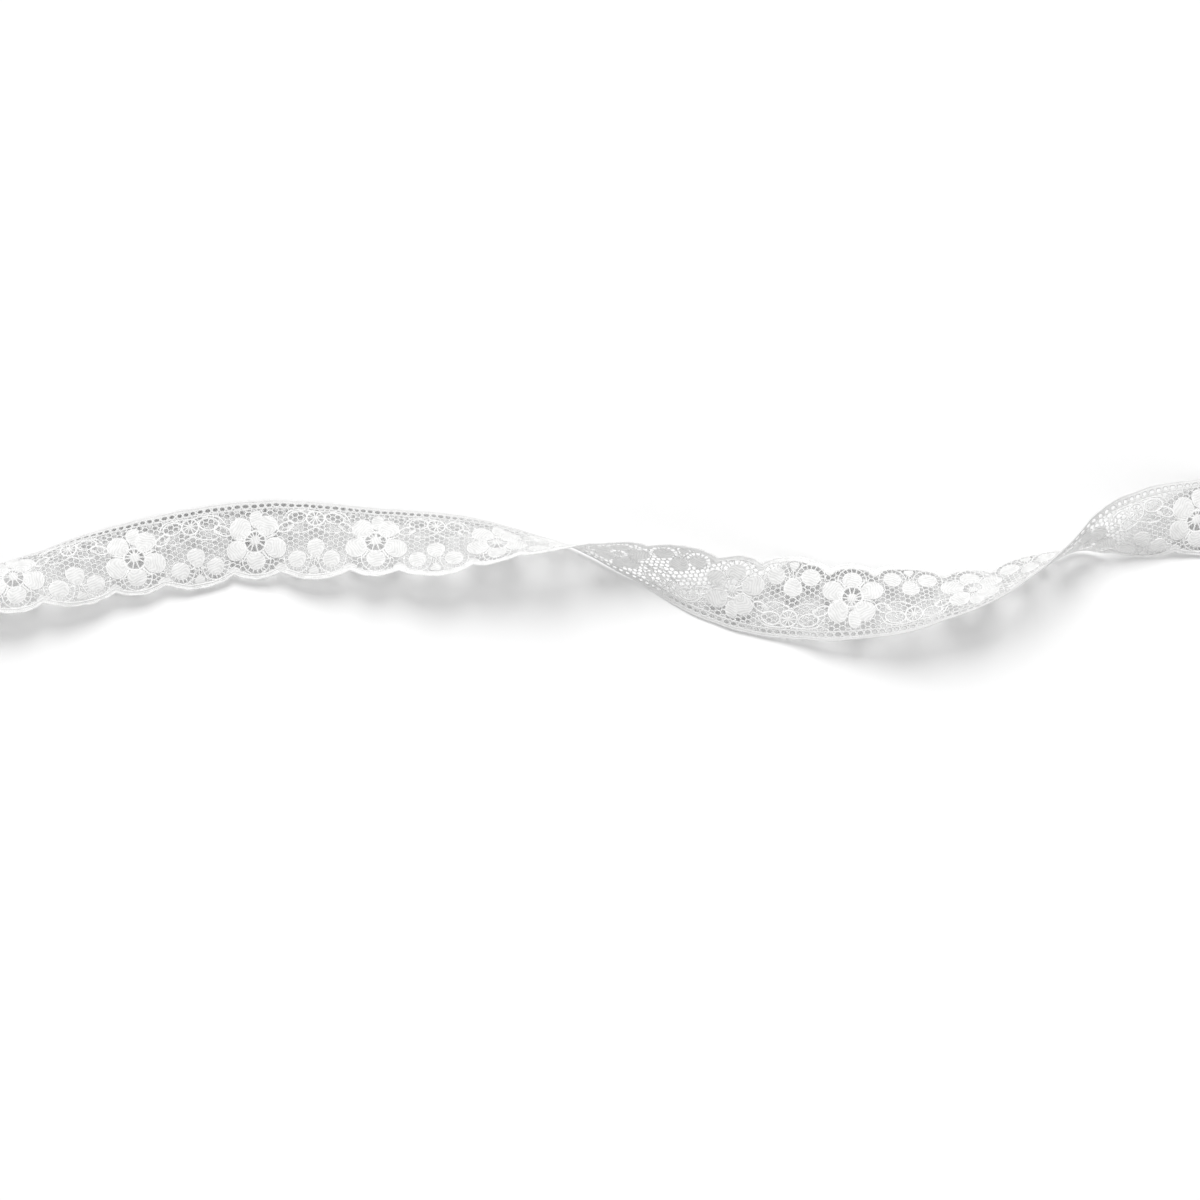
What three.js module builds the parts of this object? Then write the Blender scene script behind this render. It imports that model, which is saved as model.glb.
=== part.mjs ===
// A length of white floral lace edging, 25 mm wide, lying on a table in a loose twist.
// The strip has a straight footing edge and a scalloped edge. It runs along +X, and +Z is up.
// It rests on both edges where it is arched, and on its lower edge where it stands up in the turns.
// Its right end lies flat.
// Sizes are in millimetres and angles in degrees.

import * as THREE from 'three';

// The strip as it was cut
const stripWidth = 25.2; // footing edge to the bottom of a large scallop
const sheetThickness = 1.0;
const cuspDepth = 22.5; // footing edge to the cusp between two scallops
const smallScallopDepth = 24.4; // footing edge to the bottom of a small scallop
const patternRepeat = 36.6; // one flower to the next, along the strip
const cuspOffset = patternRepeat / 5; // flower centre to the nearest cusp

// How finely the sheet is divided
const sectionsPerRepeat = 20;
const panelsAcross = 8;
const arcStep = 0.25; // step along X when the strip's length is measured

// How the strip lies. Each row is one place along it:
// x, y   where the middle of the strip is, seen from above
// roll   turn about its own length: 0 has the footing edge towards +Y, and less than 0 raises the
//        scalloped edge
// lift   height of the lower edge over the table
// loose  how far the strip floats, as a share of its half width, where it turns through flat
// arch   half the angle that the section turns through, more than 0 where its middle bulges to the
//        front face
const stations = [
  { x: -199, y: -1.2, roll: -42, lift: 0, loose: 0, arch: 62 },
  { x: -180, y: 2.4, roll: -38, lift: 0, loose: 0, arch: 61 },
  { x: -165.6, y: 5.7, roll: -31, lift: 0, loose: 0, arch: 59 },
  { x: -151.2, y: 9.5, roll: -17, lift: 0, loose: 0, arch: 50 },
  { x: -137.1, y: 12.4, roll: -10, lift: 0, loose: 0, arch: 38 },
  { x: -124, y: 14.9, roll: -5, lift: 0, loose: 0, arch: 30 },
  { x: -114, y: 16.4, roll: -4, lift: 0, loose: 0, arch: 27 },
  { x: -104, y: 17.5, roll: -6, lift: 0, loose: 0, arch: 26 },
  { x: -94, y: 17.9, roll: -12, lift: 0, loose: 0, arch: 26 },
  { x: -84, y: 17.7, roll: -19, lift: 0, loose: 0, arch: 25 },
  { x: -72.9, y: 17.0, roll: -28, lift: 0, loose: 0, arch: 20 },
  { x: -55.5, y: 16.7, roll: -37, lift: 0.2, loose: 0, arch: 12 },
  { x: -44, y: 16.6, roll: -44, lift: 0.4, loose: 0, arch: 8 },
  { x: -32.7, y: 16.7, roll: -58, lift: 0.6, loose: 0, arch: 7 },
  { x: -21, y: 16.5, roll: -74, lift: 0.8, loose: 0, arch: 5 },
  { x: -8.4, y: 15.9, roll: -90, lift: 0.8, loose: 0, arch: 4.5 },
  { x: 4.8, y: 13.5, roll: -109, lift: 0.4, loose: 0, arch: 5.5 },
  { x: 18, y: 9.9, roll: -126, lift: 0, loose: 0, arch: 7 },
  { x: 26, y: 7.0, roll: -137, lift: 0, loose: 0.04, arch: 7 },
  { x: 36, y: 3.9, roll: -149, lift: 0, loose: 0.1, arch: 4.5 },
  { x: 45.3, y: 2.1, roll: -162, lift: 0, loose: 0.16, arch: -8 },
  { x: 57.3, y: 0.7, roll: -180, lift: 0, loose: 0.14, arch: -20 },
  { x: 73.5, y: -0.4, roll: -198, lift: 0, loose: 0.06, arch: -22 },
  { x: 88.2, y: 0.1, roll: -213, lift: 0, loose: 0.02, arch: -12 },
  { x: 101.7, y: 1.9, roll: -230, lift: 0, loose: 0, arch: 3 },
  { x: 115.2, y: 5.0, roll: -243, lift: 0.2, loose: 0, arch: 11 },
  { x: 127, y: 10.1, roll: -254, lift: 0.4, loose: 0, arch: 20 },
  { x: 138.6, y: 15.8, roll: -270, lift: 0.4, loose: 0, arch: 20 },
  { x: 150, y: 20.0, roll: -301, lift: 0.1, loose: 0, arch: 20 },
  { x: 163.5, y: 23.1, roll: -333, lift: 0, loose: 0, arch: 44 },
  { x: 174, y: 24.3, roll: -349, lift: 0, loose: 0, arch: 44 },
  { x: 182, y: 24.7, roll: -356, lift: 0, loose: 0, arch: 30 },
  { x: 190, y: 25.1, roll: -360, lift: 0, loose: 0, arch: 0 },
  { x: 204, y: 25.8, roll: -360, lift: 0, loose: 0, arch: 0 },
];

const flowerX = -103.4; // a flower's centre is here
const startX = stations[0].x;
const endX = stations[stations.length - 1].x;
const halfWidth = stripWidth / 2;

// Slope of one column at each row: the harmonic mean of the slopes on both sides, or none where
// the column turns or stays level, so that a smooth curve through the rows never overshoots.
function rowSlopes(column) {
  const slopeAfter = stations.slice(1).map((row, i) => {
    const before = stations[i];
    return (row[column] - before[column]) / (row.x - before.x);
  });
  return stations.map((row, i) => {
    const left = slopeAfter[Math.max(i - 1, 0)];
    const right = slopeAfter[Math.min(i, slopeAfter.length - 1)];
    return left * right > 0 ? (2 * left * right) / (left + right) : 0;
  });
}

const columns = ['y', 'roll', 'lift', 'loose', 'arch'];
const slopes = Object.fromEntries(columns.map((column) => [column, rowSlopes(column)]));

// The value of a column at any x, on the cubic between its two rows
function columnAt(column, x) {
  const next = stations.findIndex((row) => row.x > x);
  const i = next < 0 ? stations.length - 2 : Math.max(next - 1, 0);
  const from = stations[i];
  const to = stations[i + 1];
  const span = to.x - from.x;
  const t = (x - from.x) / span;
  const ease = t * t * (3 - 2 * t);
  const slopeFrom = slopes[column][i] * span * t * (1 - t) * (1 - t);
  const slopeTo = slopes[column][i + 1] * span * t * t * (1 - t);
  return from[column] * (1 - ease) + to[column] * ease + slopeFrom - slopeTo;
}

// A place on an arched section, at a share of the half width from the middle: how far out along the
// chord it is, how far over the chord, and the angle of the arc's own normal there
function onArc(share, archDegrees) {
  const given = THREE.MathUtils.degToRad(archDegrees);
  const arch = Math.abs(given) < 1e-5 ? 1e-5 : given;
  const out = (halfWidth * Math.sin(share * arch)) / arch;
  const over = (halfWidth * (Math.cos(share * arch) - Math.cos(arch))) / arch;
  return { out, over, normal: share * given };
}

// Middle of the chord at x, with the height that keeps the lower edge on or over the table
function middleAt(x) {
  const roll = THREE.MathUtils.degToRad(columnAt('roll', x));
  const halfChord = onArc(1, columnAt('arch', x)).out;
  const rise = halfChord * Math.hypot(Math.sin(roll), columnAt('loose', x));
  return new THREE.Vector3(x, columnAt('y', x), rise + sheetThickness / 2 + columnAt('lift', x));
}

// One section: its middle, the direction across the strip to the footing edge, and its front normal
function frameAt(x) {
  const roll = THREE.MathUtils.degToRad(columnAt('roll', x));
  const middle = middleAt(x);
  const ahead = new THREE.Vector3().subVectors(middleAt(x + arcStep), middleAt(x - arcStep));
  const side = new THREE.Vector3(-ahead.y, ahead.x, 0).normalize();
  const up = new THREE.Vector3(0, 0, 1);
  const across = side.clone().multiplyScalar(Math.cos(roll)).addScaledVector(up, Math.sin(roll));
  const front = side.clone().multiplyScalar(-Math.sin(roll)).addScaledVector(up, Math.cos(roll));
  return { middle, across, front, arch: columnAt('arch', x) };
}

// Footing edge to the scalloped edge at a length along the strip from a flower's centre.
// Each scallop is a shallow parabola between its two cusps.
function edgeDepth(alongFromFlower) {
  const turns = alongFromFlower / patternRepeat;
  const fromFlower = Math.abs(turns - Math.round(turns)) * patternRepeat;
  const small = fromFlower < cuspOffset;
  const bottom = small ? smallScallopDepth : stripWidth;
  const share = small ? fromFlower / cuspOffset
    : (patternRepeat / 2 - fromFlower) / (patternRepeat / 2 - cuspOffset);
  return bottom - (bottom - cuspDepth) * share * share;
}

// Length along the strip's middle at every step of x, counted from that flower
function measureLength() {
  const marks = [];
  let along = 0;
  let last = middleAt(startX);
  for (let x = startX; x <= endX + arcStep / 2; x += arcStep) {
    const here = middleAt(x);
    along += here.distanceTo(last);
    marks.push({ x, along });
    last = here;
  }
  const flowerAlong = marks.find((mark) => mark.x >= flowerX).along;
  return marks.map((mark) => ({ x: mark.x, along: mark.along - flowerAlong }));
}

// The x of a length along the strip, between two marks
function xAtLength(marks, along) {
  const i = THREE.MathUtils.clamp(marks.findIndex((mark) => mark.along >= along), 1, marks.length - 1);
  const from = marks[i - 1];
  const to = marks[i];
  return from.x + ((along - from.along) / (to.along - from.along)) * (to.x - from.x);
}

// Points of one section's closed ring: the front face from footing to scallops, then the back face
function sectionRing(x, along) {
  const { middle, across, front, arch } = frameAt(x);
  const faces = [sheetThickness / 2, -sheetThickness / 2].map((offset) => {
    return Array.from({ length: panelsAcross + 1 }, (_, j) => {
      const share = 1 - (edgeDepth(along) * j) / panelsAcross / halfWidth;
      const { out, over, normal } = onArc(share, arch);
      return middle.clone()
        .addScaledVector(across, out + offset * Math.sin(normal))
        .addScaledVector(front, over + offset * Math.cos(normal));
    });
  });
  return [...faces[0], ...faces[1].reverse()];
}

// The closed sheet: rings joined by quads, with a flat cap of quads at each cut end
function stripGeometry() {
  const marks = measureLength();
  const step = patternRepeat / sectionsPerRepeat;
  const first = Math.ceil(marks[0].along / step);
  const last = Math.floor(marks[marks.length - 1].along / step);
  const positions = [];
  const indices = [];
  const ringSize = 2 * (panelsAcross + 1);
  const ringCount = last - first + 1;
  for (let k = first; k <= last; k += 1) {
    const along = k * step;
    sectionRing(xAtLength(marks, along), along).forEach((point) => positions.push(...point.toArray()));
  }
  const addQuad = (a, b, c, d) => indices.push(a, b, c, a, c, d);
  for (let i = 0; i < ringCount - 1; i += 1) {
    for (let j = 0; j < ringSize; j += 1) {
      const here = i * ringSize;
      const next = here + ringSize;
      const jNext = (j + 1) % ringSize;
      addQuad(here + j, here + jNext, next + jNext, next + j);
    }
  }
  const farRing = (ringCount - 1) * ringSize;
  for (let j = 0; j < panelsAcross; j += 1) {
    const across = ringSize - 1 - j;
    addQuad(j, across, across - 1, j + 1);
    addQuad(farRing + j, farRing + j + 1, farRing + across - 1, farRing + across);
  }
  const geometry = new THREE.BufferGeometry();
  geometry.setAttribute('position', new THREE.Float32BufferAttribute(positions, 3));
  geometry.setIndex(indices);
  return geometry;
}

// The origin is under the middle of the strip's box, on the table
const laceGeometry = stripGeometry();
laceGeometry.computeBoundingBox();
const box = laceGeometry.boundingBox;
laceGeometry.translate(-(box.min.x + box.max.x) / 2, -(box.min.y + box.max.y) / 2, -box.min.z);
laceGeometry.computeVertexNormals();

const laceCotton = new THREE.MeshStandardMaterial({ color: 0xf4f4f2, roughness: 0.85, metalness: 0 });
const laceStrip = new THREE.Mesh(laceGeometry, laceCotton);
laceStrip.name = 'lace_strip';

const laceEdging = new THREE.Group();
laceEdging.name = 'lace_edging';
laceEdging.add(laceStrip);

export default laceEdging;
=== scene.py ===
import bpy
import numpy as np
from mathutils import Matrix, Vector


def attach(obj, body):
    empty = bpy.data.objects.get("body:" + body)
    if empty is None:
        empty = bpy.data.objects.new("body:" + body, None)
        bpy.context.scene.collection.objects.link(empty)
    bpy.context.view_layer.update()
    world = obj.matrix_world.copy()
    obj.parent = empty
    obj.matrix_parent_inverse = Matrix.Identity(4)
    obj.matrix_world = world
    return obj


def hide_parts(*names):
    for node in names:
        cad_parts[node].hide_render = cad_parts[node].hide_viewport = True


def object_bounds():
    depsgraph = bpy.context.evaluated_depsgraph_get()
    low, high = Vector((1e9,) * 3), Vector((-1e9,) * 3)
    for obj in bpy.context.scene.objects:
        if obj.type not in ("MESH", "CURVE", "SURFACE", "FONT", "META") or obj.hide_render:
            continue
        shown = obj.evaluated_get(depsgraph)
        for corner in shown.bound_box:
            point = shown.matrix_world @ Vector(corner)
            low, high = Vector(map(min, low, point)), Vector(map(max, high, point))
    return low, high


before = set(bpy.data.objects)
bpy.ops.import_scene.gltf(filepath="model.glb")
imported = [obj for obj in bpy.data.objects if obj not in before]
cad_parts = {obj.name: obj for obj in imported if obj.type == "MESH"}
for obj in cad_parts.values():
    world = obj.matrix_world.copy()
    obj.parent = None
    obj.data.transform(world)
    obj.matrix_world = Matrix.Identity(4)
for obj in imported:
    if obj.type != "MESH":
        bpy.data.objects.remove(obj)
cadLow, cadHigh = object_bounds()
print("frame loaded: the strip's box is", [round(v, 4) for v in cadHigh - cadLow])

mm = 0.001
chance = np.random.default_rng(11)

# The strip as it was cut, in millimetres
edging = {
    "width": 25.2,          # footing edge to the bottom of a large scallop
    "cuspDepth": 22.5,      # footing edge to the cusp between two scallops
    "smallScallop": 24.4,   # footing edge to the bottom of a small scallop
    "repeat": 36.6,         # one flower to the next
    "cuspShare": 0.2,       # flower centre to the nearest cusp, as a share of the repeat
    "thickness": 1.0,       # of the plain sheet that stands for it
    "sections": 20,         # of that sheet, in one repeat
    "panels": 8,            # of that sheet, across
}

# How it lies, with the same rows as the plain sheet. x and y are the middle of the width seen from
# above, roll is the turn about its own length in degrees, lift is the lower edge over the table,
# loose is how far it floats where it turns through flat, and arch is half the angle in degrees that
# its section turns through, more than 0 where the middle bulges to the front face.
lay = {
    "columns": ("x", "y", "roll", "lift", "loose", "arch"),
    "rows": (
        (-199, -1.2, -42, 0, 0, 62),
        (-180, 2.4, -38, 0, 0, 61),
        (-165.6, 5.7, -31, 0, 0, 59),
        (-151.2, 9.5, -17, 0, 0, 50),
        (-137.1, 12.4, -10, 0, 0, 38),
        (-124, 14.9, -5, 0, 0, 30),
        (-114, 16.4, -4, 0, 0, 27),
        (-104, 17.5, -6, 0, 0, 26),
        (-94, 17.9, -12, 0, 0, 26),
        (-84, 17.7, -19, 0, 0, 25),
        (-72.9, 17.0, -28, 0, 0, 20),
        (-55.5, 16.7, -37, 0.2, 0, 12),
        (-44, 16.6, -44, 0.4, 0, 8),
        (-32.7, 16.7, -58, 0.6, 0, 7),
        (-21, 16.5, -74, 0.8, 0, 5),
        (-8.4, 15.9, -90, 0.8, 0, 4.5),
        (4.8, 13.5, -109, 0.4, 0, 5.5),
        (18, 9.9, -126, 0, 0, 7),
        (26, 7.0, -137, 0, 0.04, 7),
        (36, 3.9, -149, 0, 0.1, 4.5),
        (45.3, 2.1, -162, 0, 0.16, -8),
        (57.3, 0.7, -180, 0, 0.14, -20),
        (73.5, -0.4, -198, 0, 0.06, -22),
        (88.2, 0.1, -213, 0, 0.02, -12),
        (101.7, 1.9, -230, 0, 0, 3),
        (115.2, 5.0, -243, 0.2, 0, 11),
        (127, 10.1, -254, 0.4, 0, 20),
        (138.6, 15.8, -270, 0.4, 0, 20),
        (150, 20.0, -301, 0.1, 0, 20),
        (163.5, 23.1, -333, 0, 0, 44),
        (174, 24.3, -349, 0, 0, 44),
        (182, 24.7, -356, 0, 0, 30),
        (190, 25.1, -360, 0, 0, 0),
        (204, 25.8, -360, 0, 0, 0),
    ),
    "markStep": 0.25,       # along x, where its length is measured
    "flowerX": -103.4,      # a flower's centre is here
}

halfWidth = edging["width"] / 2
layTable = np.array(lay["rows"], float)
layX = layTable[:, 0]


# A column at any x: the cubic between its two rows, whose slope at a row is the harmonic mean of
# the slopes on both sides, or none where the column turns or stays level.
def columnAt(name, x):
    values = layTable[:, lay["columns"].index(name)]
    after = np.diff(values) / np.diff(layX)
    left, right = np.append(after[0], after), np.append(after, after[-1])
    rises = left * right > 0
    slope = np.where(rises, 2 * left * right / np.where(rises, left + right, 1), 0)
    i = np.clip(np.searchsorted(layX, x, side="right") - 1, 0, len(layX) - 2)
    span = layX[i + 1] - layX[i]
    t = (x - layX[i]) / span
    ease = t * t * (3 - 2 * t)
    bend = span * t * (1 - t) * (slope[i] * (1 - t) - slope[i + 1] * t)
    return values[i] * (1 - ease) + values[i + 1] * ease + bend


# Across a section that is an arc: a place at a share of the half width from the middle is
# half width x sin(share x arch) / arch out from it, and half width x (cos(share x arch) - cos(arch)) / arch
# over the chord
def onArc(share, arch):
    arch = np.where(np.abs(arch) < 1e-5, 1e-5, arch)
    return halfWidth * np.sin(share * arch) / arch, halfWidth * (np.cos(share * arch) - np.cos(arch)) / arch


# Middle of the chord at x, as high as keeps the lower edge on or over the table
def middleAt(x):
    halfChord = onArc(1, np.radians(columnAt("arch", x)))[0]
    rise = halfChord * np.hypot(np.sin(np.radians(columnAt("roll", x))), columnAt("loose", x))
    return np.stack([x, columnAt("y", x), rise + edging["thickness"] / 2 + columnAt("lift", x)], -1)


# Footing edge to the scalloped edge: each scallop is a shallow parabola between its two cusps
def edgeDepth(along):
    turns = along / edging["repeat"]
    fromFlower = np.abs(turns - np.round(turns))
    cusp = edging["cuspShare"]
    small = fromFlower < cusp
    bottom = np.where(small, edging["smallScallop"], edging["width"])
    share = np.where(small, fromFlower / cusp, (0.5 - fromFlower) / (0.5 - cusp))
    return bottom - (bottom - edging["cuspDepth"]) * share**2


# At each mark along x: middle, direction across to the footing edge, front normal, arch and length
step = lay["markStep"]
markX = np.arange(layX[0], layX[-1] + step / 2, step)
markMiddle = middleAt(markX)
markAhead = middleAt(markX + step) - middleAt(markX - step)
markSide = np.stack([-markAhead[:, 1], markAhead[:, 0]], 1)
markSide /= np.linalg.norm(markSide, axis=1)[:, None]
markRoll = np.radians(columnAt("roll", markX))[:, None]
markAcross = np.hstack([markSide * np.cos(markRoll), np.sin(markRoll)])
markFront = np.hstack([-markSide * np.sin(markRoll), np.cos(markRoll)])
markAlong = np.append(0, np.linalg.norm(np.diff(markMiddle, axis=0), axis=1).cumsum())
markAlong -= markAlong[np.argmax(markX >= lay["flowerX"])]
markArch = np.radians(columnAt("arch", markX))[:, None]
markTable = np.hstack([markMiddle, markAcross, markFront, markArch])


# A place in the flat pattern put onto the lying strip: middle + out x across + over x front, with out
# and over on the section's arc, and its height along the arc's own normal there
def onStrip(along, depth, height):
    read = np.stack([np.interp(along, markAlong, c) for c in markTable.T], -1)
    share = (halfWidth - depth) / halfWidth
    arch = read[..., 9]
    out, over = onArc(share, arch)
    out = out + height * np.sin(share * arch)
    over = over + height * np.cos(share * arch)
    return read[..., :3] + out[..., None] * read[..., 3:6] + over[..., None] * read[..., 6:9]


# The plain sheet's corners give the shift to the row's frame and the two cut ends
sectionStep = edging["repeat"] / edging["sections"]
sectionAlong = sectionStep * np.arange(
    np.ceil(markAlong[0] / sectionStep), np.floor(markAlong[-1] / sectionStep) + 1
)
cutEnds = sectionAlong[[0, -1]]
acrossShare = np.linspace(0, 1, edging["panels"] + 1)
sheetDepth = edgeDepth(sectionAlong)[:, None] * acrossShare
sheetAlong = np.broadcast_to(sectionAlong[:, None], sheetDepth.shape)
faceHeight = np.full(sheetDepth.shape, edging["thickness"] / 2)
sheetCorners = np.concatenate(
    [onStrip(sheetAlong, sheetDepth, sign * faceHeight).reshape(-1, 3) for sign in (1, -1)]
)
frameShift = np.array(cadLow) / mm - sheetCorners.min(0)
stripLength = float(np.ptp(cutEnds))
# Flat area inside the scalloped outline, holes and all: the mean depth times the cut length
flatArea = float(edgeDepth(np.linspace(*cutEnds, 20001)).mean()) * stripLength
print("lay worked out, cut length", round(stripLength, 1), "mm; shift", frameShift.round(3))

# Pattern in millimetres. u is along the strip from the flower's centre, or from half way between two
# flowers, and t is down from the footing edge. Angles are in degrees: 90 points to the footing.
flower = {
    "centreDepth": 13.2,
    # angle, inner end, outer end, width, taper
    "petals": (
        (86, 4.4, 9.7, 3.5, 0.15),
        (51, 2.8, 9.0, 5.9, 0.22),
        (132, 2.8, 9.1, 5.9, 0.22),
        (-18, 3.0, 9.6, 5.7, 0.06),
        (199, 2.9, 9.3, 5.7, 0.06),
        (270, 3.1, 8.1, 5.6, 0.0),
    ),
}
# Clothwork dots between two flowers: u, t, angle, length, width, taper
dots = (
    (0.0, 15.8, 90, 5.4, 5.2, 0.2),
    (-5.45, 19.0, 90, 4.9, 5.3, 0.0),
    (5.45, 19.0, 90, 4.9, 5.3, 0.0),
)
# Little fan in the bottom of the large scallop, on a stalk from the middle dot
fans = ((0.0, 21.9, 270, 3.2, 2.9, 0.75),)
# Fillings over the two cusps beside each flower, and buds beside the small wheel
cuspPads = ((-7.32, 20.9, 270, 2.2, 3.6, 0.65), (7.32, 20.9, 270, 2.2, 3.6, 0.65))
buds = ((-7.3, 8.9, 30, 2.4, 1.3, 0.1), (7.1, 8.8, 150, 2.4, 1.3, 0.1))
# Open rings with net inside: u, t, angle, length, width, taper
openRings = (
    (-5.5, 5.9, 8, 5.6, 3.9, 0.0),
    (5.3, 5.9, -8, 5.6, 3.9, 0.0),
    (-8.9, 8.9, 28, 5.0, 2.7, 0.0),
    (8.9, 8.7, 152, 5.0, 2.7, 0.0),
)
# Spider wheels: ring radius, hub radius, hub's rise towards the footing, spokes, and by how many
# degrees the spokes crowd to the top
bigWheel = {"ring": 3.3, "hub": 1.7, "rise": 0.45, "spokes": 12, "crowd": 20}
smallWheel = {"u": -0.3, "t": 6.1, "ring": 2.5, "hub": 1.0, "rise": 0.1, "spokes": 10, "crowd": 0}
# Each spoke's half widths from hub to ring, where in the hub it starts, and its stray in degrees
spokes = {"widths": (0.44, 0.29, 0.26, 0.34), "high": 0.18, "start": 0.6, "stray": 7}
# Cords between the petals: angles, the inner and the outer end, and half widths outwards
seams = {
    "angles": (16, -54, 234, 165),
    "ends": (3.3, 6.7),
    "widths": (0.5, 0.44, 0.4, 0.34, 0.3),
    "high": 0.2,
}
# Fine cords that wind from the small wheel: points of one side, mirrored for the other, and the
# stalk of the little fan
vines = (
    ((0.0, 9.0), (-1.6, 9.9), (-3.4, 10.7), (-5.2, 10.9), (-7.0, 10.6)),
    ((-1.0, 3.5), (-3.2, 3.3), (-6.2, 3.4), (-8.6, 4.5), (-9.8, 6.6)),
)
stalk = ((0.0, 18.3), (0.1, 18.9), (0.05, 19.5), (-0.05, 20.1), (0.0, 20.8))
vineSteps = 18
# Half width and half height of the cords round the open rings and wheels, and of the vines
cordSizes = {
    "openRing": (0.34, 0.24),
    "bigWheel": (0.44, 0.28),
    "smallWheel": (0.38, 0.26),
    "vine": (0.28, 0.22),
}
openRingSteps = 36
# Grid, crown, rim and relief of the small pads
smallPads = {
    "fans": (12, 0.12, 0.12, 0.04),
    "buds": (10, 0.14, 0.1, 0.03),
    "cuspFills": (12, 0.1, 0.12, 0.04),
    "hubs": (8, 0.22, 0.12, 0.03),
}
clothwork = {
    "grid": 28,             # quads along and across each pad
    "crown": 0.2,           # rise of the middle over each face
    "rim": 0.12,
    "reliefPitch": 0.8,     # of the arcs on the pads
    "relief": 0.055,
    "warp": 0.42,           # how far the arcs stray
    "eye": 2.3,             # how far from a pad's middle the arcs have theirs
    "outlineWide": 0.26,
    "outlineHigh": 0.28,
    "turn": 2.5,            # unevenness of each pad's angle, size and place
    "size": 0.02,
    "place": 0.1,
}
net = {
    "columns": 24,          # of holes, in one repeat
    "top": 2.75,
    "rowStep": 1.66,
    "rows": 13,
    "endWide": 0.28,
    "midWide": 0.2,
    "high": 0.13,
    "jitter": 0.07,
    "borderGap": 1.2,       # the net ends this far in from the scalloped edge
}
border = {
    "step": 0.3,
    # depth in from the edge, half width, half height, bump share, bump pitch, sides
    "cords": (
        (0.3, 0.36, 0.32, 0.3, 1.25, 8),
        (0.86, 0.46, 0.2, 0.1, 0.8, 8),
        (1.42, 0.26, 0.32, 0.14, 0.7, 6),
    ),
    "bandInside": 1.45,
}
footing = {
    "step": 0.45,
    # depth, half width, half height, bump share, bump pitch, sides
    "cords": (
        (0.26, 0.26, 0.28, 0.1, 0.9, 8),
        (0.78, 0.42, 0.2, 0.06, 0.7, 6),
        (2.72, 0.24, 0.22, 0.12, 0.8, 6),
    ),
    "eyelets": 17,          # in one repeat
    "eyelet": (1.76, 1.98, 1.72),  # depth, and the ring's length and width
    "ringWide": 0.36,
    "ringHigh": 0.22,
    "ringSteps": 14,
}
# The arc round the lower half of a pad and the bars that join it to the pad, with angles in degrees
ladder = {
    "gap": 1.62,
    "arcReach": 102,        # from the pad's lowest place to each end of the arc
    "arcSteps": 30,
    "arcWide": 0.27,
    "arcHigh": 0.22,
    "barReach": 92,
    "bars": 9,
    "stray": 4,
    "shortest": 0.5,
    "wide": 0.29,
    "midWide": 0.2,
    "high": 0.18,
}
# Tiles on a side of the bake's map, repeats that have their own, and the margin in each tile
bake = {"tiles": 5, "repeats": 12, "margin": 0.03}
cutMargin = 0.05            # a shape that reaches less than this past a cut end is dropped
# The unevenness is full where the distances to both cut ends multiply to this, about 0.1 mm in
calmProduct = 40

half = edging["repeat"] / 2
repeats = np.arange(
    np.floor(cutEnds[0] / edging["repeat"]) - 1, np.ceil(cutEnds[1] / edging["repeat"]) + 2
)


# Slow sines that are out of step with the repeat, and shift each thread by up to 0.3 mm
def uneven(along, depth):
    turn = 2 * np.pi * along
    slide = 0.16 * np.sin(turn / 29.3 + 0.31 * depth) + 0.1 * np.sin(turn / 12.7 - 0.5 * depth + 1.2)
    sink = 0.07 * np.sin(turn / 21.1 + 0.23 * depth + 2) + 0.05 * np.sin(turn / 9.4 + 0.7 * depth)
    wave = 0.1 * np.sin(turn / 17.9 + 0.4) * np.sin(0.35 * depth + turn / 41)
    return slide, sink, wave


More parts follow.
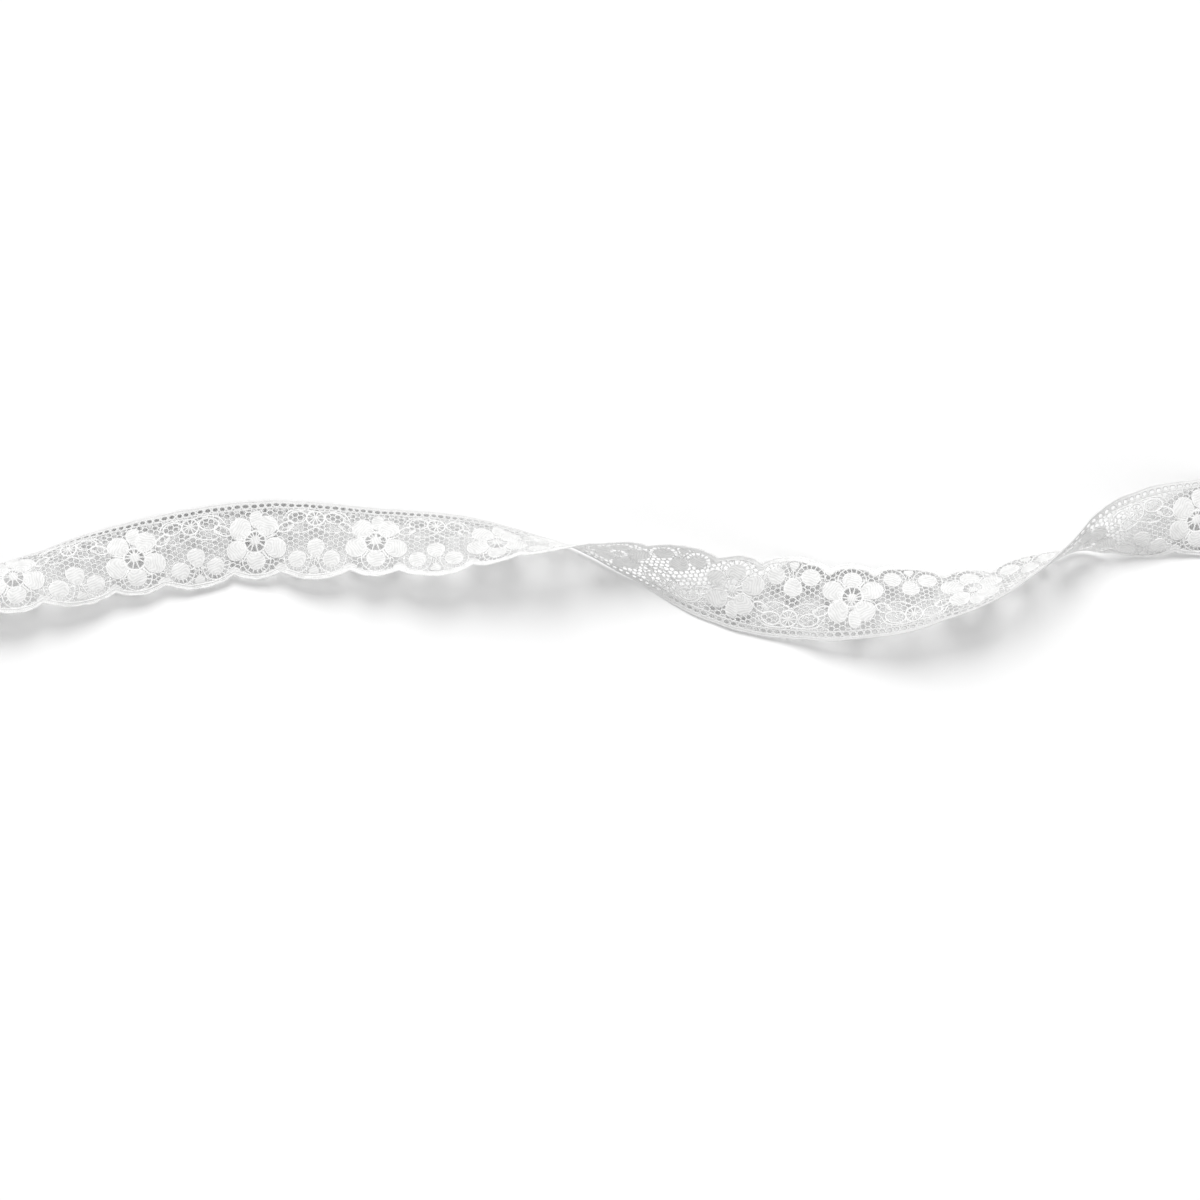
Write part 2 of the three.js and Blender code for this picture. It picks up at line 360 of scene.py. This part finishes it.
# Threads: an ellipse of half sizes wide and high carried along each flat path, so a point is
# path + normal x wide x cos(a) at height rise + high x sin(a). Open ends are closed with quads.
def threads(paths, wide, high, rise=0.0, sides=4, closed=False):
    paths = np.asarray(paths, float)
    count, rings = paths.shape[:2]
    wide, high, rise = (np.broadcast_to(v, (count, rings)) for v in (wide, high, rise))
    if closed:
        ahead = np.roll(paths, -1, 1) - np.roll(paths, 1, 1)
    else:
        ahead = np.gradient(paths, axis=1)
    ahead /= np.linalg.norm(ahead, axis=2, keepdims=True)
    normal = np.stack([-ahead[..., 1], ahead[..., 0]], -1)[:, :, None]
    angle = 2 * np.pi * np.arange(sides) / sides
    unrolled = 1 - 2 * np.minimum(angle, 2 * np.pi - angle) / np.pi
    spot = paths[:, :, None] + normal * (wide[..., None] * np.cos(angle))[..., None]
    height = rise[..., None] + high[..., None] * np.sin(angle)
    flat = paths[:, :, None] + normal * (wide[..., None] * unrolled)[..., None]
    ring, side = np.meshgrid(np.arange(rings if closed else rings - 1), np.arange(sides), indexing="ij")
    nextRing, nextSide = (ring + 1) % rings, (side + 1) % sides
    here, there = ring * sides, nextRing * sides
    quads = np.stack([here + side, there + side, there + nextSide, here + nextSide], -1).reshape(-1, 4)
    back = (side >= sides // 2).ravel()
    length = np.append(0, np.linalg.norm(np.diff(paths, axis=1), axis=2).mean(0).cumsum())
    length = np.append(length, length[-1] + length[1])
    twist = np.stack(
        [
            np.stack([length[ring + a], (side + b) / sides], -1)
            for a, b in ((0, 0), (1, 0), (1, 1), (0, 1))
        ],
        2,
    ).reshape(-1, 4, 2)
    if not closed:
        first = np.arange(1, sides - 2, 2)
        startCap = np.stack([0 * first, first, first + 1, first + 2], 1)
        endCap = startCap[:, ::-1] + (rings - 1) * sides
        quads = np.concatenate([quads, startCap, endCap])
        back = np.append(back, np.zeros(2 * len(first), bool))
        twist = np.concatenate([twist, np.zeros((2 * len(first), 4, 2))])
    return {
        "spot": np.concatenate([spot, height[..., None]], -1).reshape(count, -1, 3),
        "flat": flat.reshape(count, -1, 2),
        "quads": quads,
        "back": back,
        "weave": np.broadcast_to(twist, (count, *twist.shape)),
    }


# Unit directions of an angle in the pattern, and a quarter turn on from it
def directions(angle):
    turned = np.radians(angle)
    axis = np.stack([np.cos(turned), -np.sin(turned)], -1)
    return axis, np.stack([-np.sin(turned), -np.cos(turned)], -1)


# Place on a pad: centre + axis x length/2 x p + cross x width/2 x q x (1 + taper x p), p^2 + q^2 <= 1
def onPad(pad, p, q):
    axis, cross = directions(pad[:, 2])
    shape = (len(pad),) + (1,) * p.ndim
    centre, length, width, taper = pad[:, :2], pad[:, 3], pad[:, 4], pad[:, 5]
    reach = [
        centre[:, i].reshape(shape)
        + axis[:, i].reshape(shape) * length.reshape(shape) / 2 * p
        + cross[:, i].reshape(shape) * width.reshape(shape) / 2 * q * (1 + taper.reshape(shape) * p)
        for i in (0, 1)
    ]
    return np.stack(reach, -1)


# How far out on each pad a place lies, under 1 inside, and which pads lie above it
def outOnPads(pad, spot):
    axis, cross = directions(pad[:, 2])
    away = spot[:, None] - pad[:, :2]
    p = (away * axis).sum(-1) / (pad[:, 3] / 2)
    q = (away * cross).sum(-1) / (pad[:, 4] / 2) / np.maximum(1 + pad[:, 5] * p, 0.2)
    return np.hypot(p, q), away[..., 1] > 0


# The same pads with a wider rim
def grown(pad, gap):
    wider = pad.copy()
    wider[:, 3:5] += 2 * gap
    return wider


# Arcs on a pad: a sine of the distance from their common middle, after slow waves moved each place
def padArcs(along, across, sine, root):
    a = along + clothwork["eye"] + clothwork["warp"] * sine(1.3 * across + 1)
    b = across + 0.4 + clothwork["warp"] * sine(1.6 * along)
    return sine(2 * np.pi / clothwork["reliefPitch"] * root(a * a + b * b))


# Pads of clothwork: two crowned grids on a disc that share their rim. A square's a and b go to
# p = a x sqrt(1 - b^2 / 2) and q = b x sqrt(1 - a^2 / 2). Height is rim + crown x (1 - r^2)^0.6,
# with the arcs on it.
def clothPads(pad, grid, crown, rim, relief):
    a, b = np.meshgrid(*[np.linspace(-1, 1, grid + 1)] * 2, indexing="ij")
    p, q = a * np.sqrt(1 - b**2 / 2), b * np.sqrt(1 - a**2 / 2)
    inside = 1 - np.minimum(np.hypot(p, q), 1) ** 2
    spot = onPad(pad, p, q)
    alongPad = pad[:, 3, None, None] / 2 * p
    acrossPad = pad[:, 4, None, None] / 2 * q
    shift = chance.uniform(0, 6, (len(pad), 1, 1))
    arcs = padArcs(alongPad, acrossPad, np.sin, np.sqrt)
    swell = 1 + 0.2 * np.sin(1.7 * alongPad + shift) * np.sin(1.3 * acrossPad + 4 * shift)
    isRim = np.zeros(a.shape, bool)
    isRim[[0, -1]] = isRim[:, [0, -1]] = True
    relieved = relief * arcs * np.minimum(4 * inside, 1)
    rise = np.where(isRim, 0, rim + crown * inside**0.6 * swell + relieved)
    front = np.arange(a.size).reshape(a.shape)
    behind = front.copy()
    behind[~isRim] = a.size + np.arange((~isRim).sum())
    cells = [
        np.stack([face[:-1, :-1], face[1:, :-1], face[1:, 1:], face[:-1, 1:]], -1).reshape(-1, 4)
        for face in (front, behind)
    ]
    spotAll = np.concatenate([spot.reshape(len(pad), -1, 2), spot[:, ~isRim]], 1)
    height = np.concatenate([rise.reshape(len(pad), -1), -rise[:, ~isRim]], 1)
    weave = np.stack([alongPad, acrossPad], -1)
    weaveAll = np.concatenate([weave.reshape(len(pad), -1, 2), weave[:, ~isRim]], 1)
    quads = np.concatenate([cells[0], cells[1][:, ::-1]])
    return {
        "spot": np.concatenate([spotAll, height[..., None]], -1),
        "flat": spotAll,
        "quads": quads,
        "back": np.repeat([False, True], len(cells[0])),
        "weave": weaveAll[:, quads],
    }


# Closed cord round each pad or ring
def outlines(pad, wide, high, steps=40):
    turn = 2 * np.pi * np.arange(steps) / steps
    return threads(onPad(pad, np.cos(turn), np.sin(turn)), wide, high, closed=True)


# A table of pads repeated along the strip, each a little uneven. Offset is 0 at the flowers and half
# a repeat between them.
def repeated(table, offset):
    rows = np.array(table, float)
    rows = np.tile(rows, (len(repeats), 1, 1))
    rows[..., 0] += repeats[:, None] * edging["repeat"] + offset
    rows = rows.reshape(-1, rows.shape[-1])
    rows[:, :2] += clothwork["place"] * chance.uniform(-1, 1, (len(rows), 2))
    rows[:, 2] += clothwork["turn"] * chance.uniform(-1, 1, len(rows))
    rows[:, 3:5] *= 1 + clothwork["size"] * chance.uniform(-1, 1, (len(rows), 2))
    return rows[(rows[:, 0] > cutEnds[0] - 5) & (rows[:, 0] < cutEnds[1] + 5)]


# Petals as pads: the centre lies half way between the inner and outer end
def petalTable():
    rows = []
    for angle, inner, outer, width, taper in flower["petals"]:
        axis = directions(angle)[0] * (inner + outer) / 2
        rows.append((axis[0], flower["centreDepth"] + axis[1], angle, outer - inner, width, taper))
    return rows


# A smooth curve through points: on each span the cubic whose slopes are half the way between the
# points on both sides
def smooth(points, steps):
    points = np.asarray(points, float)
    slope = np.gradient(points, axis=0)
    place = np.linspace(0, len(points) - 1, steps)
    i = np.minimum(place.astype(int), len(points) - 2)
    t = (place - i)[:, None]
    ease = t * t * (3 - 2 * t)
    bend = t * (1 - t) * (slope[i] * (1 - t) - slope[i + 1] * t)
    return points[i] * (1 - ease) + points[i + 1] * ease + bend


petals = repeated(petalTable(), 0)
dotPads = repeated(dots, half)
fanPads = repeated(fans, half)
budPads = repeated(buds, half)
cuspFills = repeated(cuspPads, 0)
ringPads = repeated(openRings, half)
flowerAlong = repeats * edging["repeat"]
wheelCentres = {
    "big": np.stack([flowerAlong, 0 * repeats + flower["centreDepth"]], 1),
    "small": np.stack([flowerAlong + half + smallWheel["u"], 0 * repeats + smallWheel["t"]], 1),
}
solidPads = np.concatenate([petals, dotPads, fanPads, budPads, cuspFills])


# Discs of the wheels as pads, so that the net stops at their rings
def wheelDiscs(centres, wheel):
    size = np.full(len(centres), 2 * wheel["ring"])
    return np.stack([*centres.T, 0 * size, size, size, 0 * size], 1)


bigDiscs = wheelDiscs(wheelCentres["big"], bigWheel)
smallDiscs = wheelDiscs(wheelCentres["small"], smallWheel)
closedGround = np.concatenate([solidPads, bigDiscs, smallDiscs])
bottomPetals = petals[petals[:, 1] > flower["centreDepth"] + 5]
ladderPads = np.concatenate([bottomPetals, dotPads[dotPads[:, 1] > 17.5]])


# The net: flat-topped six-sided holes in columns that are half a hole out of step. Hole j of column i
# is centred at (i x 3/4 hole width, (j + half of i's parity) x row step). Each hole's top thread runs
# from its left corner to its right one, which a slanting thread joins to the left corners of both
# holes of the next column. Threads inside a motif are left out.
def netThreads():
    across = edging["repeat"] / net["columns"]
    quarter = across / 3
    column = np.arange(np.floor(cutEnds[0] / across) - 1, np.ceil(cutEnds[1] / across) + 2)
    column = column[int(column[0]) % 2:, None]
    row = np.arange(net["rows"])
    along = column * across + 0 * row
    depth = net["top"] + (row + 0.5 * (column % 2)) * net["rowStep"]
    right = np.stack([along + quarter, depth], -1)
    left = np.stack([along - quarter, depth], -1)
    for ends in (right, left):
        ends += net["jitter"] * chance.normal(size=ends.shape) * (np.arange(net["rows"]) > 0)[:, None]
    last = len(column) - 1
    even, afterEven = slice(0, last, 2), slice(1, last + 1, 2)
    odd, afterOdd = slice(1, last, 2), slice(2, last + 1, 2)
    pairs = [
        (left, right),
        (right[even][: len(left[afterEven])], left[afterEven]),
        (right[even][: len(left[afterEven]), 1:], left[afterEven][:, :-1]),
        (right[odd][: len(left[afterOdd])], left[afterOdd]),
        (right[odd][: len(left[afterOdd]), :-1], left[afterOdd][:, 1:]),
    ]
    starts = np.concatenate([a.reshape(-1, 2) for a, _ in pairs])
    ends = np.concatenate([b.reshape(-1, 2) for _, b in pairs])
    middle = (starts + ends) / 2
    keep = outOnPads(closedGround, middle)[0].min(1) > 1.0
    out, below = outOnPads(grown(ladderPads, ladder["gap"]), middle)
    keep &= ~((out < 1.0) & below).any(1)
    keep &= (middle[:, 0] > cutEnds[0]) & (middle[:, 0] < cutEnds[1])
    keep &= middle[:, 1] < edgeDepth(middle[:, 0]) - net["borderGap"]
    paths = np.stack([starts, middle, ends], 1)[keep]
    wide = np.array([net["endWide"], net["midWide"], net["endWide"]])
    return threads(paths, wide, net["high"])


# Spokes from each hub to its ring, a little uneven
def wheelThreads(centres, wheel):
    angle = 360 * (np.arange(wheel["spokes"]) + 0.5) / wheel["spokes"]
    angle = 90 + angle - wheel["crowd"] * np.sin(np.radians(angle))
    stray = spokes["stray"]
    angle = angle + chance.uniform(-stray, stray, (len(centres), wheel["spokes"]))
    axis = directions(angle)[0]
    hub = centres[:, None] + np.array([0, -wheel["rise"]])
    start = hub + axis * wheel["hub"] * spokes["start"]
    end = centres[:, None] + axis * wheel["ring"]
    steps = len(spokes["widths"])
    share = np.linspace(0, 1, steps)[:, None]
    paths = (start[:, :, None] * (1 - share) + end[:, :, None] * share).reshape(-1, steps, 2)
    return threads(paths, np.array(spokes["widths"]), spokes["high"])


# Straight cords out from each flower's centre between its petals
def seamThreads():
    steps = len(seams["widths"])
    axis = directions(np.array(seams["angles"]))[0]
    reach = np.linspace(*seams["ends"], steps)[:, None]
    paths = wheelCentres["big"][:, None, None] + axis[:, None] * reach
    return threads(paths.reshape(-1, steps, 2), np.array(seams["widths"]), seams["high"])


# Small round pads in the middle of the wheels, a little wider than high
def wheelHubs(centres, wheel):
    size = np.full(len(centres), 2 * wheel["hub"])
    depth = centres[:, 1] - wheel["rise"]
    table = np.stack([centres[:, 0], depth, 0 * size, size, size * 0.92, 0 * size], 1)
    return clothPads(table, *smallPads["hubs"])


# A place kept inside the corded border
def insideBorder(spot):
    deepest = edgeDepth(spot[..., 0]) - border["bandInside"]
    return np.stack([spot[..., 0], np.minimum(spot[..., 1], deepest)], -1)


# Arcs round the lower half of the ladder pads, at the gap from their rims, and the bars across it
def ladderThreads():
    wider = grown(ladderPads, ladder["gap"])
    middle = np.where(ladderPads[:, 2] > 180, 0, 180)
    reach, bars, stray = ladder["barReach"], ladder["bars"], ladder["stray"]
    arcPlaces = np.linspace(-ladder["arcReach"], ladder["arcReach"], ladder["arcSteps"])
    arcTurn = np.radians(arcPlaces + middle[:, None])
    strays = chance.uniform(-stray, stray, (len(middle), bars))
    barTurn = np.radians(np.linspace(-reach, reach, bars) + middle[:, None] + strays)
    arcs, inner, outer = [], [], []
    for k in range(len(ladderPads)):
        pad, widerPad = ladderPads[k:k + 1], wider[k:k + 1]
        arcs.append(insideBorder(onPad(widerPad, np.cos(arcTurn[k]), np.sin(arcTurn[k]))[0]))
        inner.append(onPad(pad, np.cos(barTurn[k]), np.sin(barTurn[k]))[0])
        outer.append(insideBorder(onPad(widerPad, np.cos(barTurn[k]), np.sin(barTurn[k]))[0]))
    inner, outer = np.concatenate(inner), np.concatenate(outer)
    long = np.linalg.norm(outer - inner, axis=1) > ladder["shortest"]
    paths = np.stack([inner, (inner + outer) / 2, outer], 1)[long]
    wide = np.array([ladder["wide"], ladder["midWide"], ladder["wide"]])
    return [
        threads(arcs, ladder["arcWide"], ladder["arcHigh"]),
        threads(paths, wide, ladder["high"]),
    ]


# Long cords beside an edge. The bumps are the sines of the pitch and of two thirds of it.
def edgeCords(spec, depthOf, stepLength):
    along = np.arange(cutEnds[0], cutEnds[1] + stepLength / 2, stepLength)
    along = np.minimum(along, cutEnds[1])
    parts = []
    for inset, wide, high, bump, pitch, sides in spec:
        turn = 2 * np.pi * along / pitch
        bumps = 0.6 * np.sin(turn) + 0.4 * np.sin(1.5 * turn + 1)
        swell = 1 + bump * (bumps + 0.3 * chance.normal(size=len(along)))
        knots = np.arange(along[0] - 2, along[-1] + 3, 1.7)
        stray = np.interp(along, knots, chance.uniform(-1, 1, len(knots))) * bump * 0.6
        path = np.stack([along, depthOf(along, inset) + stray], 1)[None]
        swell = swell[None]
        parts.append(threads(path, wide * swell, high * (0.5 + 0.5 * swell), sides=sides))
    return parts


# Rings round the footing's eyelets
def eyeletRings():
    pitch = edging["repeat"] / footing["eyelets"]
    along = pitch * np.arange(np.ceil(cutEnds[0] / pitch), np.floor(cutEnds[1] / pitch) + 1)
    depth, length, width = footing["eyelet"]
    table = np.zeros((len(along), 6)) + (0, depth, 0, length, width, 0)
    table[:, 0] = along
    table[:, :2] += 0.05 * chance.normal(size=(len(along), 2))
    table[:, 3:5] *= 1 + 0.04 * chance.normal(size=(len(along), 2))
    return outlines(table, footing["ringWide"], footing["ringHigh"], footing["ringSteps"])


# Both sides of the vines, and the stalk, half way between each two flowers
def vineThreads():
    mirrored = [np.array(points) * (side, 1) for points in vines for side in (1, -1)]
    places = np.stack([flowerAlong + half, 0 * repeats], 1)[:, None]
    size = cordSizes["vine"]
    return [threads(smooth(points, vineSteps) + places, *size) for points in (*mirrored, stalk)]


# Joins parts into one mesh on the lying strip. Shapes past a cut end are dropped, and those that
# cross it stop there. Each repeat's front and back have their own tile of the bake's map.
def makePiece(name, parts, material):
    spots, flats, quads, weaves, backs = [], [], [], [], []
    total = 0
    for part in parts:
        along = part["spot"][..., 0]
        inside = (along.max(1) > cutEnds[0] + cutMargin) & (along.min(1) < cutEnds[1] - cutMargin)
        spot, flat = part["spot"][inside], part["flat"][inside]
        count, size = spot.shape[:2]
        first = total + size * np.arange(count)[:, None, None]
        spots.append(spot.reshape(-1, 3))
        flats.append(flat.reshape(-1, 2))
        quads.append((part["quads"] + first).reshape(-1, 4))
        weaves.append(part["weave"][inside].reshape(-1, 4, 2))
        backs.append(np.tile(part["back"], count))
        total += count * size
    spots, flats, quads, weaves, backs = map(np.concatenate, (spots, flats, quads, weaves, backs))
    along = np.clip(spots[:, 0], *cutEnds)
    slide, sink, wave = uneven(along, spots[:, 1])
    inner = np.clip((along - cutEnds[0]) * (cutEnds[1] - along) / calmProduct, 0, 1)
    along = np.clip(along + slide * inner, *cutEnds)
    place = (onStrip(along, spots[:, 1] + sink, spots[:, 2] + wave * inner) + frameShift) * mm

    mesh = bpy.data.meshes.new(name)
    mesh.vertices.add(len(place))
    mesh.vertices.foreach_set("co", place.ravel())
    mesh.loops.add(quads.size)
    mesh.loops.foreach_set("vertex_index", quads.ravel().astype(np.int32))
    mesh.polygons.add(len(quads))
    mesh.polygons.foreach_set("loop_start", np.arange(0, quads.size, 4, dtype=np.int32))
    mesh.update(calc_edges=True)
    mesh.polygons.foreach_set("use_smooth", np.ones(len(quads), bool))

    tiles, margin = bake["tiles"], bake["margin"]
    cornerFlat = flats[quads]
    fromCut = (cornerFlat[..., 0] - cutEnds[0]) / edging["repeat"]
    tileNumber = np.floor(fromCut.mean(1)).clip(0, bake["repeats"] - 1)
    inTile = np.stack([fromCut - tileNumber[:, None], cornerFlat[..., 1] / edging["width"]], -1)
    inTile = inTile * (1 - 2 * margin) + margin
    tileNumber = tileNumber + bake["repeats"] * backs
    corner = np.stack([tileNumber % tiles, tileNumber // tiles], -1)[:, None]
    for mapName, values in (("Weave", weaves), ("OFBake", (inTile + corner) / tiles)):
        layer = mesh.uv_layers.new(name=mapName, do_init=False)
        layer.uv.foreach_set("vector", values.astype(np.float32).ravel())
    mesh.validate()
    mesh.materials.append(material)
    piece = bpy.data.objects.new(name, mesh)
    bpy.context.scene.collection.objects.link(piece)
    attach(piece, "root")
    print(name, "has", 2 * len(quads), "triangles")
    return piece


# One output of a material's nodes: sums on it add Math nodes
class Wire:
    def __init__(self, finish, socket):
        self.finish, self.socket = finish, socket

    def maths(self, operation, *values):
        return self.finish.node("ShaderNodeMath", {"operation": operation}, dict(enumerate(values)))

    def __add__(self, other):
        return self.maths("ADD", self, other)

    def __sub__(self, other):
        return self.maths("SUBTRACT", self, other)

    def __rsub__(self, other):
        return self.maths("SUBTRACT", other, self)

    def __mul__(self, other):
        return self.maths("MULTIPLY", self, other)

    __radd__, __rmul__ = __add__, __mul__

    def sine(self):
        return self.maths("SINE", self)

    def root(self):
        return self.maths("SQRT", self)


# A material whose nodes all come from one method: type, settings, then values or links
class Finish:
    def __init__(self, name):
        self.material = bpy.data.materials.new(name)
        self.material.use_nodes = True
        self.tree = self.material.node_tree
        self.shader = self.tree.nodes["Principled BSDF"]

    def put(self, target, value):
        if isinstance(value, Wire):
            self.tree.links.new(value.socket, target)
        else:
            target.default_value = value

    def node(self, kind, settings=None, inputs=None, out=0):
        made = self.tree.nodes.new(kind)
        for key, value in (settings or {}).items():
            setattr(made, key, value)
        for key, value in (inputs or {}).items():
            self.put(made.inputs[key], value)
        return Wire(self, made.outputs[out])

    def noise(self, scale, detail=2.0):
        place = self.node("ShaderNodeTexCoord", out="Object")
        return self.node("ShaderNodeTexNoise", inputs={"Vector": place, "Scale": scale, "Detail": detail})

    # Along and across the pattern of the piece's own map, in millimetres for cloth
    def weave(self):
        place = self.node("ShaderNodeUVMap", {"uv_map": "Weave"})
        split = self.node("ShaderNodeSeparateXYZ", inputs={0: place})
        return split, Wire(self, split.socket.node.outputs[1])

    def blend(self, share, low, high):
        return self.node("ShaderNodeMix", {"data_type": "RGBA"}, {0: share, 6: low, 7: high}, out=2)

    def bump(self, height, strength, distance):
        inputs = {"Height": height, "Strength": strength, "Distance": distance}
        return self.node("ShaderNodeBump", inputs=inputs)


cotton = {
    "cord": (0.93, 0.93, 0.926, 1),
    # the footing's cotton is the cords' cotton painted darker, as painted shade
    "footing": (0.8, 0.8, 0.797, 1),
    "cloth": (0.88, 0.88, 0.875, 1),
    # colour of the painted shade in the gaps, grooves and low arcs
    "shade": (0.62, 0.62, 0.616, 1),
    "roughness": 0.78,
    "roughnessSpread": 0.15,
    "sheen": 0.12,
    "specular": 0.25,
    "clothPitch": 0.39,     # of the threads in the clothwork
    "twistPitch": 0.55,     # of the twist of a cord
    "clouds": 500,          # of the unevenness, in waves to a metre
    "cloudShare": 1.2,
    "fuzz": 5200,           # of the fine fibres, in waves to a metre
    "fuzzShare": 0.5,
    # painted shade of the clothwork, darker in the weave's gaps and where the arcs are low
    "clothPaintedShading": (0.77, 0.24, 0.14),  # middle, share of the arcs, share of the weave
    # painted shade of the cords, darker in the grooves of their twist
    "cordPaintedShading": (0.88, 0.14),         # middle, share of the ridges
    "bumpStrength": 0.55,
    "bumpHeight": 0.00008,  # metres
}


# White cotton: a pattern gives its height and its painted shading, 0 in the gaps, which get the painted
# shade colour, and 1 on the threads
def cottonFinish(name, pattern, light):
    finish = Finish(name)
    fuzz = finish.noise(cotton["fuzz"], 3.0)
    clouds = finish.noise(cotton["clouds"], 4.0)
    height, paintedShading = pattern(*finish.weave())
    height = height + cotton["fuzzShare"] * fuzz
    # painted shading of the pattern plus random clouds of uneven tone picks between the painted shade
    # colour and the cotton's own
    share = paintedShading + cotton["cloudShare"] * (clouds - 0.5)
    shader = finish.shader.inputs
    finish.put(shader["Base Color"], finish.blend(share, cotton["shade"], light))
    finish.put(shader["Roughness"], cotton["roughness"] + cotton["roughnessSpread"] * clouds)
    finish.put(shader["Normal"], finish.bump(height, cotton["bumpStrength"], cotton["bumpHeight"]))
    shader["Sheen Weight"].default_value = cotton["sheen"]
    shader["Specular IOR Level"].default_value = cotton["specular"]
    return finish.material


# Clothwork: the product of two sines, as of threads that go over and under each other, with painted shade
# in the gaps between them and along the lines where the arcs are low
def clothPattern(along, across):
    fine = 2 * np.pi / cotton["clothPitch"]
    weave = (fine * along).sine() * (fine * across).sine()
    arcs = padArcs(along, across, Wire.sine, Wire.root)
    middle, arcShare, weaveShare = cotton["clothPaintedShading"]
    return 0.5 + 0.5 * weave, middle + arcShare * arcs + weaveShare * weave


# Cords: slanting ridges, two for a turn round the cord, with painted shade in the grooves between the
# ridges
def cordPattern(along, across):
    ridge = (2 * np.pi / cotton["twistPitch"] * along + 4 * np.pi * across).sine()
    middle, ridgeShare = cotton["cordPaintedShading"]
    return 0.5 + 0.5 * ridge, middle + ridgeShare * ridge


clothFinish = cottonFinish("clothwork cotton", clothPattern, cotton["cloth"])
cordFinish = cottonFinish("corded cotton", cordPattern, cotton["cord"])
# the footing's cords in a darker copy of the corded cotton, which is painted shade
paintedShadeFootingFinish = cottonFinish("footing cotton", cordPattern, cotton["footing"])
threadFinish = cottonFinish("net thread", cordPattern, cotton["cord"])
print("materials made")


# Petals and dots, with the crown, rim and relief of the clothwork
def pads(table):
    shape = [clothwork[key] for key in ("grid", "crown", "rim", "relief")]
    return clothPads(table, *shape)


isLower = petals[:, 1] > flower["centreDepth"]
ground = makePiece(
    "openwork_ground",
    [
        netThreads(),
        outlines(np.concatenate([petals, dotPads]), clothwork["outlineWide"], clothwork["outlineHigh"]),
        outlines(ringPads, *cordSizes["openRing"], openRingSteps),
        outlines(bigDiscs, *cordSizes["bigWheel"]),
        outlines(smallDiscs, *cordSizes["smallWheel"]),
        seamThreads(),
        *vineThreads(),
        wheelThreads(wheelCentres["big"], bigWheel),
        wheelThreads(wheelCentres["small"], smallWheel),
        *ladderThreads(),
    ],
    threadFinish,
)
petalPiece = makePiece("lower_petals", [pads(petals[isLower])], clothFinish)
upperPiece = makePiece("upper_petals", [pads(petals[~isLower])], clothFinish)
dotPiece = makePiece(
    "clothwork_dots",
    [
        pads(dotPads),
        clothPads(fanPads, *smallPads["fans"]),
        clothPads(budPads, *smallPads["buds"]),
        clothPads(cuspFills, *smallPads["cuspFills"]),
        wheelHubs(wheelCentres["big"], bigWheel),
        wheelHubs(wheelCentres["small"], smallWheel),
    ],
    clothFinish,
)
edgePiece = makePiece(
    "scalloped_border",
    edgeCords(border["cords"], lambda along, inset: edgeDepth(along) - inset, border["step"]),
    cordFinish,
)
footingPiece = makePiece(
    "footing_edge",
    [*edgeCords(footing["cords"], lambda along, inset: inset + 0 * along, footing["step"]), eyeletRings()],
    paintedShadeFootingFinish,
)

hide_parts("lace_strip")

# A plain white table, a soft key light from the far side, and a white surround
studio = {
    "tableSize": 8.0,
    "tableColour": (0.92, 0.92, 0.92, 1),
    # strength, elevation, azimuth from +Y to +X, width of the source in degrees
    "lamps": (
        (2.33, 51.5, 2, 27),
        (0.9, 38, 185, 80),
    ),
    "surround": 0.36,
    "backdrop": 0.985,
}
tableMesh = bpy.data.meshes.new("table")
corner = studio["tableSize"] / 2
tableCorners = [(-corner, -corner, 0), (corner, -corner, 0), (corner, corner, 0), (-corner, corner, 0)]
tableMesh.from_pydata(tableCorners, [], [(0, 1, 2, 3)])
tableFinish = Finish("table")
tableFinish.shader.inputs["Base Color"].default_value = studio["tableColour"]
tableFinish.shader.inputs["Roughness"].default_value = 0.9
tableFinish.shader.inputs["Specular IOR Level"].default_value = 0.0
tableMesh.materials.append(tableFinish.material)
table = bpy.data.objects.new("table", tableMesh)
bpy.context.scene.collection.objects.link(table)

for number, (strength, elevation, azimuth, wide) in enumerate(studio["lamps"]):
    lamp = bpy.data.objects.new(f"lamp {number}", bpy.data.lights.new(f"lamp {number}", "SUN"))
    lamp.data.energy = strength
    lamp.data.angle = np.radians(wide)
    lamp.rotation_euler = np.radians([elevation - 90, 0, -azimuth])
    bpy.context.scene.collection.objects.link(lamp)

world = bpy.data.worlds.new("surround")
world.use_nodes = True
bpy.context.scene.world = world
tree = world.node_tree
lightSide = tree.nodes["Background"]
lightSide.inputs["Color"].default_value = (1, 1, 1, 1)
lightSide.inputs["Strength"].default_value = studio["surround"]
seenSide = tree.nodes.new("ShaderNodeBackground")
seenSide.inputs["Color"].default_value = (1, 1, 1, 1)
seenSide.inputs["Strength"].default_value = studio["backdrop"]
choice = tree.nodes.new("ShaderNodeMixShader")
tree.links.new(tree.nodes.new("ShaderNodeLightPath").outputs["Is Camera Ray"], choice.inputs[0])
tree.links.new(lightSide.outputs[0], choice.inputs[1])
tree.links.new(seenSide.outputs[0], choice.inputs[2])
tree.links.new(choice.outputs[0], tree.nodes["World Output"].inputs[0])
bpy.context.scene.view_settings.view_transform = "Standard"

# The camera looks straight down on the middle of a frame that is 360 mm wide
camera = {"frameWidth": 0.36, "height": 3.0, "sensor": 36.0}
eye = bpy.data.objects.new("camera", bpy.data.cameras.new("camera"))
eye.data.sensor_width = camera["sensor"]
eye.data.lens = camera["sensor"] * camera["height"] / camera["frameWidth"]
eye.location = (frameShift[0] * mm, frameShift[1] * mm, camera["height"])
bpy.context.scene.collection.objects.link(eye)
bpy.context.scene.camera = eye
print("table, light and camera made")
